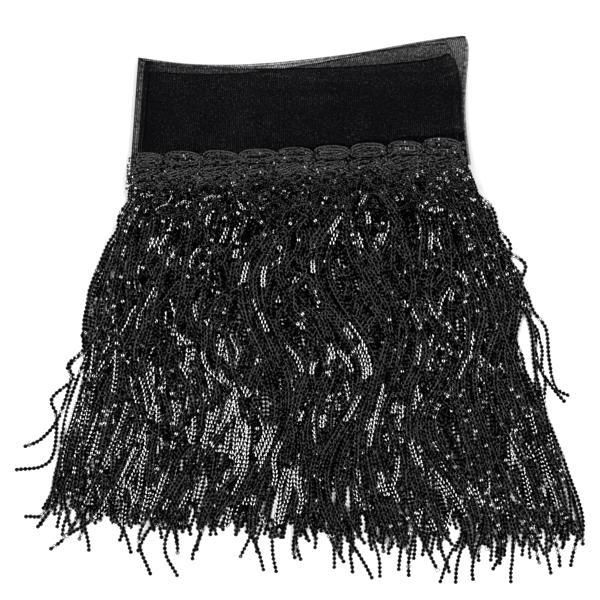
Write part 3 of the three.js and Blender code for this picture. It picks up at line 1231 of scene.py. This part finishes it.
def smoothstep(x: np.ndarray) -> np.ndarray:
    """Eased step from 0 to 1."""
    x = np.clip(x, 0, 1)
    return x * x * (3 - 2 * x)


def jitter(seed: float) -> float:
    """Repeatable number from 0 to 1."""
    return (math.sin(seed * 12.9898) * 43758.5453) % 1.0


def resample(path: np.ndarray, step: float) -> np.ndarray:
    """Points at an even spacing along a path.

    Args:
        path: its points.
        step: the spacing.

    Returns:
        The new points, both ends kept.
    """
    end = distances(path)[-1]
    return points_at(path, np.linspace(0, end, max(3, round(end / step) + 1)))


def smooth_path(knots: np.ndarray) -> np.ndarray:
    """A soft curve through some points, close to their polyline.

    Args:
        knots: the points.

    Returns:
        Finely spaced points of the curve.
    """
    ends = np.concatenate([[2 * knots[0] - knots[1]], knots, [2 * knots[-1] - knots[-2]]])
    found = []
    for a, b, c, d in zip(ends, ends[1:], ends[2:], ends[3:]):
        t = np.linspace(0, 1, 16, endpoint=False)[:, None]
        found.append(
            b + (c - a) / 2 * t + (a - 2.5 * b + 2 * c - d / 2) * t**2
            + (1.5 * b - a / 2 - 1.5 * c + d / 2) * t**3
        )
    return np.concatenate(found + [knots[-1:]])


@dataclass
class Fringe:
    """The sequin strands of all runs, laid on each other from the floor up."""

    strip: FoldedStrip
    finish: SequinFinish
    thread: ThreadFinish
    main_count: int = 48
    fill_counts: tuple[int, ...] = (68, 16, 20, 32, 32)
    beside: tuple[float, ...] = (-0.003, 0.006, 0.994, 1.004)
    root_drop: float = 1.8
    full_drop: float = 238.0
    reach_left: float = 203.0
    reach_right: float = 244.0
    tip_spread: float = 24.0
    flare: float = 9.0
    lock_pull: float = 0.35
    scene_locks: int = 13
    gather: float = 0.3
    radius: float = 1.4
    spacing: float = 2.65
    look: float = 1.2
    small: float = 0.68
    small_drop: float = 16.0
    thickness: float = 0.5
    climb: float = 0.3
    shingle: float = 3.0
    cup: float = 35.0
    flash_cup: float = 14.6
    curl_count: int = 190
    freedom: tuple[float, ...] = (0.0, 0.4, 0.6, 1.0, 1.0)
    moods: tuple[float, ...] = (0.15, 0.3, 0.5, 0.8, 1.3)
    own_waves: tuple[tuple[float, float, float], ...] = (
        (60, 95, 0.22), (30, 50, 0.30), (14, 24, 0.22),
    )
    sway_wave: float = 175.0
    tip_sweep: float = 45.0
    tip_stray: float = 5.0
    left_side: float = -55.0
    lower_part: float = 110.0

    def curtain(self, run: int, u: float, drop: np.ndarray, drawn: float = 1.0) -> np.ndarray:
        """Smooth route of a strand in plan.

        Args:
            run: its run.
            u: place of its root along the run.
            drop: drops below the root.
            drawn: how far it is drawn to the middle of its lock.

        Returns:
            Points in plan.
        """
        lay = self.strip.runs[run]
        across = self.strip.heading + self.root_drop
        x0, y0 = self.strip.run_point(run, u, across)
        build = smoothstep(drop / 70)
        pull = drawn * self.lock_pull * build * np.minimum(1, drop / self.full_drop)
        turn = 2 * math.pi * lay.locks
        lock_u = u + pull * np.sin(turn * u + run) / turn
        inside = np.clip(lock_u, 0, 1)
        fan = -lay.spread_left + (lay.spread_left + lay.spread_right) * inside
        fan = fan * (np.maximum(drop, 0) / self.full_drop) ** (1.0 - 0.2 * inside)
        sway = lay.sway * build * np.sin(
            2 * math.pi * (drop / self.sway_wave + lay.phase + lay.turns * lock_u)
        )
        width = self.strip.run_length(run)
        x0 = x0 + (np.clip(u, 0, 1) - u) * width * (1 - smoothstep(drop / 28))
        return np.stack([x0 + (lock_u - u) * width + fan + sway, y0 - drop], axis=1)

    def tip_drop(self, run: int, u: float, reach: float) -> float:
        """How far a strand drops before its reach is used up."""
        drop = np.arange(0, 300, 1.0)
        route = self.curtain(run, u, drop)
        return float(np.interp(reach, distances(route), drop))

    def strands(self, run: int, rng: np.random.Generator) -> list[Strand]:
        """The strands of one run, lock by lock.

        Args:
            run: the run.
            rng: the source of their small differences.

        Returns:
            Strands in the order in which they lie on each other.
        """
        main = [((i + 0.5) / self.main_count, i) for i in range(self.main_count)]
        extra = self.fill_counts[run]
        spots = (np.arange(extra) + rng.uniform(0, 1, extra)) / extra
        fill = [(0.015 + 0.97 * float(u), -1) for u in spots]
        fill += [(u, -1) for u in self.beside if run]
        if run == 0:
            even = (np.arange(self.main_count + extra) + 0.5) / (self.main_count + extra)
            main, fill = [], [(float(u), -1) for u in even]
        top = run == len(self.strip.runs) - 1
        free = self.freedom[run]
        strays = {stray.place: stray for stray in STRAYS} if top else {}
        locks = self.scene_locks
        centre = (np.arange(locks) + 0.5 + rng.uniform(-0.25, 0.25, locks)) / locks
        length = rng.uniform(60, 140, locks)
        swing = rng.uniform(0.2, 0.8, locks) * length / (2 * math.pi)
        phase = rng.uniform(0, 2 * math.pi, locks)
        unruly = rng.choice(self.moods, locks)
        order = rng.permutation(locks)
        found = []
        for u, index in main + fill:
            if index in strays:
                knots = np.concatenate([self.curtain(run, u, np.zeros(1)), strays[index].route])
                found.append(Strand(resample(smooth_path(knots), 1.0), 99, 99 + rng.random()))
                continue
            uneven = jitter(run * 71 + index * 3.7) ** 4 if index >= 0 else rng.uniform(-0.6, 0)
            reach = self.reach_left + (self.reach_right - self.reach_left) * u
            reach += self.flare * max(0.0, 1 - u / 0.35)
            tip = self.tip_drop(run, u, reach + self.tip_spread * uneven)
            drop = np.arange(0, tip, 1.0)
            lock = int(np.argmin(abs(centre - u)))
            filler = index < 0
            path = self.curtain(run, u, drop, 0.0 if filler else 1.0)
            build = smoothstep(drop / 16)
            edge = 0.55 + 0.45 * float(smoothstep(min(u, 1 - u) / 0.1))
            width = self.strip.run_length(run)
            full = np.sin(math.pi * np.minimum(1, drop / self.full_drop)) ** 0.5
            draw = self.gather * free * build * full * (0.3 if filler else 1.0)
            path[:, 0] += (centre[lock] - u) * width * draw
            meander = swing[lock] * np.sin(2 * math.pi * drop / length[lock] + phase[lock])
            own = np.zeros(len(drop))
            loose = unruly[lock] * (1.3 if filler else 1.0) if run else 0.1
            for low, high, steep in self.own_waves:
                wave = rng.uniform(low, high)
                size = rng.uniform(0.4, 1.2) * steep * wave / (2 * math.pi)
                own += size * np.sin(2 * math.pi * drop / wave + rng.uniform(0, 2 * math.pi))
            calm = 1 - 0.5 * smoothstep((drop - 90) / 100)
            combed = 1.5 - 1.05 * smoothstep((drop - 40) / 110)
            path[:, 0] += build * edge * (free * calm * meander + loose * combed * own)
            tipward = smoothstep((drop - tip + self.tip_sweep) / self.tip_sweep)
            path[:, 0] += tipward * rng.normal(0, self.tip_stray) * edge * (1.0 if run else 0.3)
            rank = order[lock] + rng.uniform(-1.0, 1.0)
            found.append(Strand(resample(path, 1.0), lock, rank))
        return sorted(found, key=lambda strand: strand.rank)

    def curls(self, run: int, rng: np.random.Generator) -> list[Strand]:
        """Short fine curls that lie over the roots of the top run.

        Args:
            run: the run.
            rng: the source of their places.

        Returns:
            The curls, as short strands.
        """
        found = []
        for index in range(self.curl_count):
            u = 0.03 + 0.94 * (index + rng.uniform(0, 1)) / self.curl_count
            below = rng.uniform(-5.0, 19.0)
            middle = self.curtain(run, u, np.array([below]))[0]
            bend = rng.uniform(2.5, 8.0)
            start = rng.uniform(0, 2 * math.pi)
            sweep = np.radians(rng.uniform(60, 150)) * rng.choice([-1, 1])
            angle = start + np.linspace(0, sweep, 24)
            ring = bend * np.stack([np.cos(angle), 0.8 * np.sin(angle)], axis=1)
            route = middle + ring - ring.mean(axis=0)
            found.append(Strand(resample(route, 1.0), -1, float(index), fine=True))
        return found

    def turn_strands(self, strands: list[Strand], rng: np.random.Generator) -> None:
        """Gives each strand its roll: nearly flat, with short turned lengths that catch light.

        Args:
            strands: the strands of one run.
            rng: the source of the turns.
        """
        by_lock: dict[int, list[Strand]] = {}
        for strand in strands:
            s = np.arange(len(strand.route), dtype=float)
            size, wave, phase = rng.uniform(1, 4), rng.uniform(25, 60), rng.uniform(0, 6)
            slow = size * np.sin(2 * math.pi * s / wave + phase)
            strand.roll = slow + rng.normal(0, 2.5)
            strand.flash = np.zeros(len(s))
            by_lock.setdefault(strand.lock, []).append(strand)
        for members in by_lock.values():
            members.sort(key=lambda strand: strand.route[len(strand.route) // 2, 0])
            leftmost = members[0].route[-1, 0] < self.left_side
            for _ in range(max(1, round(len(members) * (1.8 if leftmost else 1.1)))):
                middle = rng.uniform(5, 215 if leftmost else 235)
                lower = middle > self.lower_part
                size = int(rng.choice([1, 1, 2, 2, 3, 4] if lower else [1, 1, 1, 2, 2]))
                first = int(rng.integers(0, max(1, len(members) - size + 1)))
                half = rng.uniform(3.5, 13 if lower else 8)
                for strand in members[first : first + size]:
                    s = np.arange(len(strand.route), dtype=float)
                    near = smoothstep((half + 1 - abs(s - middle - rng.normal(0, 7))) / 2)
                    strand.roll = strand.roll * (1 - near)
                    strand.flash = np.maximum(strand.flash, near)

    def rest(self, strand: Strand, pile: Pile, level: float) -> np.ndarray:
        """Heights at which a strand comes to rest on the pile.

        Args:
            strand: the strand.
            pile: what lies there already, which this strand is added to.
            level: height of its root.

        Returns:
            Its height at each point of its route.
        """
        tangent = unit(np.gradient(strand.route, axis=0))
        side = np.stack([-tangent[:, 1], tangent[:, 0]], axis=1)
        floor = pile.under(strand.route, side, self.radius) + 0.25
        ramp = np.arange(len(floor)) * self.climb
        floor = np.maximum(floor, level - ramp)
        ahead = np.maximum.accumulate(floor + ramp) - ramp
        behind = (np.maximum.accumulate((floor + ramp[::-1])[::-1]) - ramp)[::-1]
        height = np.maximum(ahead, behind)
        pad = np.pad(height, 4, mode="edge")
        height = np.convolve(pad, np.ones(9) / 9, mode="valid")
        pile.lay(strand.route, side, self.radius, height + self.thickness - 0.25)
        return height

    def string(
        self, strand: Strand, height: np.ndarray, rows: SequinRows, rng: np.random.Generator
    ) -> None:
        """Strings the sequins of one strand.

        Args:
            strand: the strand.
            height: its height at each point of its route.
            rows: where the sequins are gathered.
            rng: the source of their small tilts.
        """
        path = np.concatenate([strand.route, height[:, None]], axis=1)
        length = distances(path)
        near = self.spacing * self.small
        close = np.arange(0.6, length[-1] if strand.fine else self.small_drop, near)
        far = np.arange(close[-1] + 0.85 * self.spacing, length[-1], self.spacing)
        marks = close if strand.fine else np.concatenate([close, far])
        at, ahead, back = (points_at(path, marks + d) for d in (0, self.look, -self.look))
        count = len(marks)
        flash = np.interp(marks, length, strand.flash)
        level = np.stack([np.ones(count), np.ones(count), 0.4 * (1 - flash)], axis=1)
        tangent = unit((ahead - back) * level)
        up = unit(np.array([[0, 0, 1.0]]) - tangent[:, 2:3] * tangent)
        side = np.cross(tangent, up)
        loose = 1 - 0.9 * flash
        turn = np.interp(marks, length, strand.roll) + loose * rng.normal(0, 3.0, count)
        lean = loose * self.shingle + loose * rng.normal(0, 4.0, count)
        roll, lean = np.radians(turn)[:, None], np.radians(lean)[:, None]
        normal = up * np.cos(roll) + side * np.sin(roll)
        normal = normal * np.cos(lean) + tangent * np.sin(lean)
        small = marks < self.small_drop
        radius = self.radius * np.where(small | strand.fine, self.small, 1.0)
        clear = 0.15 + radius * (abs(np.sin(roll)) + abs(np.sin(lean)))[:, 0]
        at[:, 2] = np.maximum(at[:, 2], clear + radius * 0.2)
        cup = self.cup * (1 - flash) + self.flash_cup * flash
        tone = rng.uniform(0, 0.4) + rng.uniform(0, 0.6, count)
        rows.add_row(at, tangent, normal, radius, cup, tone)

    def build(self, effects: Effects) -> list[bpy.types.Object]:
        """Builds and dresses the strands, one piece of sequins for each run.

        Args:
            effects: the shared node groups.

        Returns:
            The sequins of each run, and the threads of all runs.
        """
        sequin_finish = self.finish.dress(effects)
        pile = Pile()
        threads = SequinRows()
        pieces = []
        for run in range(len(self.strip.runs)):
            rng = np.random.default_rng(SEED + 10 + run)
            strands = self.strands(run, rng)
            if run == len(self.strip.runs) - 1:
                strands += self.curls(run, rng)
            self.turn_strands(strands, rng)
            rows = SequinRows(sides=8 if run > 2 else 6)
            for strand in strands:
                height = self.rest(strand, pile, 0.0 if strand.fine else self.strip.level(run))
                self.string(strand, height, rows, rng)
            pieces.append(rows.sequin_piece(f"fringe_sequins_{run + 1}", sequin_finish))
            threads.take(rows)
            log.info("%s: %d strands, %d sequins", pieces[-1].name, len(strands), rows.count())
        pieces.append(threads.thread_piece("fringe_threads", self.thread.dress(effects)))
        for piece in pieces:
            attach(piece, "root")
            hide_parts(Slot.FRINGE.value)
        log.info("pile: %.1f mm at its highest", pile.heights.max())
        return pieces


# ------------------------------------------------------------------ studio


@dataclass
class Studio:
    """Pale floor, a shaped surrounding light and the camera straight above."""

    middle_x: float = 1.2
    middle_y: float = 6.8
    framed: float = 369.0
    plane: float = 6.0
    lens: float = 135.0
    sensor: float = 36.0
    floor_half: float = 3000.0
    brightness: float = 18.0
    dark: float = 0.001
    arc_start: float = 0.24
    band: tuple[tuple[float, float], ...] = (
        (0.14, 0.001), (0.24, 0.092), (0.44, 0.092), (0.54, 0.001),
    )
    arcs: tuple[tuple[float, float], ...] = band + (
        (0.83, 0.001), (0.84, 1.0), (0.90, 1.0), (0.91, 0.001),
    )

    def floor(self, effects: Effects) -> bpy.types.Object:
        """The floor under the trim."""
        corners = np.array([[-1, -1, 0], [1, -1, 0], [1, 1, 0], [-1, 1, 0]]) * self.floor_half
        piece = add_mesh("floor", corners, [np.array([[0, 1, 2, 3]])], FloorFinish().dress(effects))
        return piece

    def camera(self) -> bpy.types.Object:
        """The camera, square to the floor."""
        data = bpy.data.cameras.new("camera")
        data.lens = self.lens
        data.sensor_width = self.sensor
        data.clip_end = 50
        camera = bpy.data.objects.new("camera", data)
        distance = self.framed * self.lens / self.sensor
        camera.location = Vector((self.middle_x, self.middle_y, self.plane + distance)) * MM
        bpy.context.scene.collection.objects.link(camera)
        bpy.context.scene.camera = camera
        return camera

    def surroundings(self) -> None:
        """Two arcs of light overhead, a soft band low all round, and dark between them."""
        world = bpy.data.worlds.new("studio")
        world.use_nodes = True
        graph = Graph(world.node_tree)
        place = graph.add("ShaderNodeTexCoord")
        aim = graph.add("ShaderNodeSeparateXYZ", Vector=place.outputs["Generated"]).outputs
        shades = []
        for lights in (self.band, self.arcs):
            ramp = graph.add("ShaderNodeValToRGB", Fac=aim["Z"])
            stops = ramp.color_ramp.elements
            stops[0].position, stops[1].position = 0.0, 1.0
            stops[0].color = stops[1].color = (self.dark, self.dark, self.dark, 1)
            for height, light in lights:
                stop = stops.new(height)
                stop.color = (light, light, light, 1)
            shades.append(ramp.outputs["Color"])
        beside = graph.math("SUBTRACT", graph.math("ABSOLUTE", aim["X"]), self.arc_start)
        beside = graph.math("MULTIPLY", beside, 12.0, clamp=True)
        sky = graph.add("ShaderNodeBackground", Color=graph.blend(beside, shades[0], shades[1]))
        sky.inputs["Strength"].default_value = self.brightness
        graph.set(graph.add("ShaderNodeOutputWorld").inputs["Surface"], sky.outputs["Background"])
        bpy.context.scene.world = world

    def build(self, effects: Effects) -> None:
        """Sets the studio up.

        Args:
            effects: the shared node groups.
        """
        self.camera()
        self.floor(effects)
        self.surroundings()
        scene = bpy.context.scene
        scene.view_settings.view_transform = "Standard"
        scene.cycles.transparent_max_bounces = 24
        log.info("studio: %.0f mm framed", self.framed)


# ------------------------------------------------------------------ the whole trim


def write_sizes() -> None:
    """Updates the view layer."""
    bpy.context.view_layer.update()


def main() -> None:
    """Builds the studio and the trim."""
    logging.basicConfig(level=logging.INFO, format="%(name)s: %(message)s")
    effects = Effects()
    Studio().build(effects)
    strip = FoldedStrip()
    net = NetHeading(strip, NetFinish(length=strip.length * MM)).build(effects)
    band = LeafBand(strip, SequinFinish("leaf_sequin", ior=1.75), ThreadFinish()).build(effects)
    fringe = Fringe(strip, SequinFinish(), ThreadFinish()).build(effects)
    round(strip.length * MM, 3)
    write_sizes()


if __name__ == "__main__":
    main()
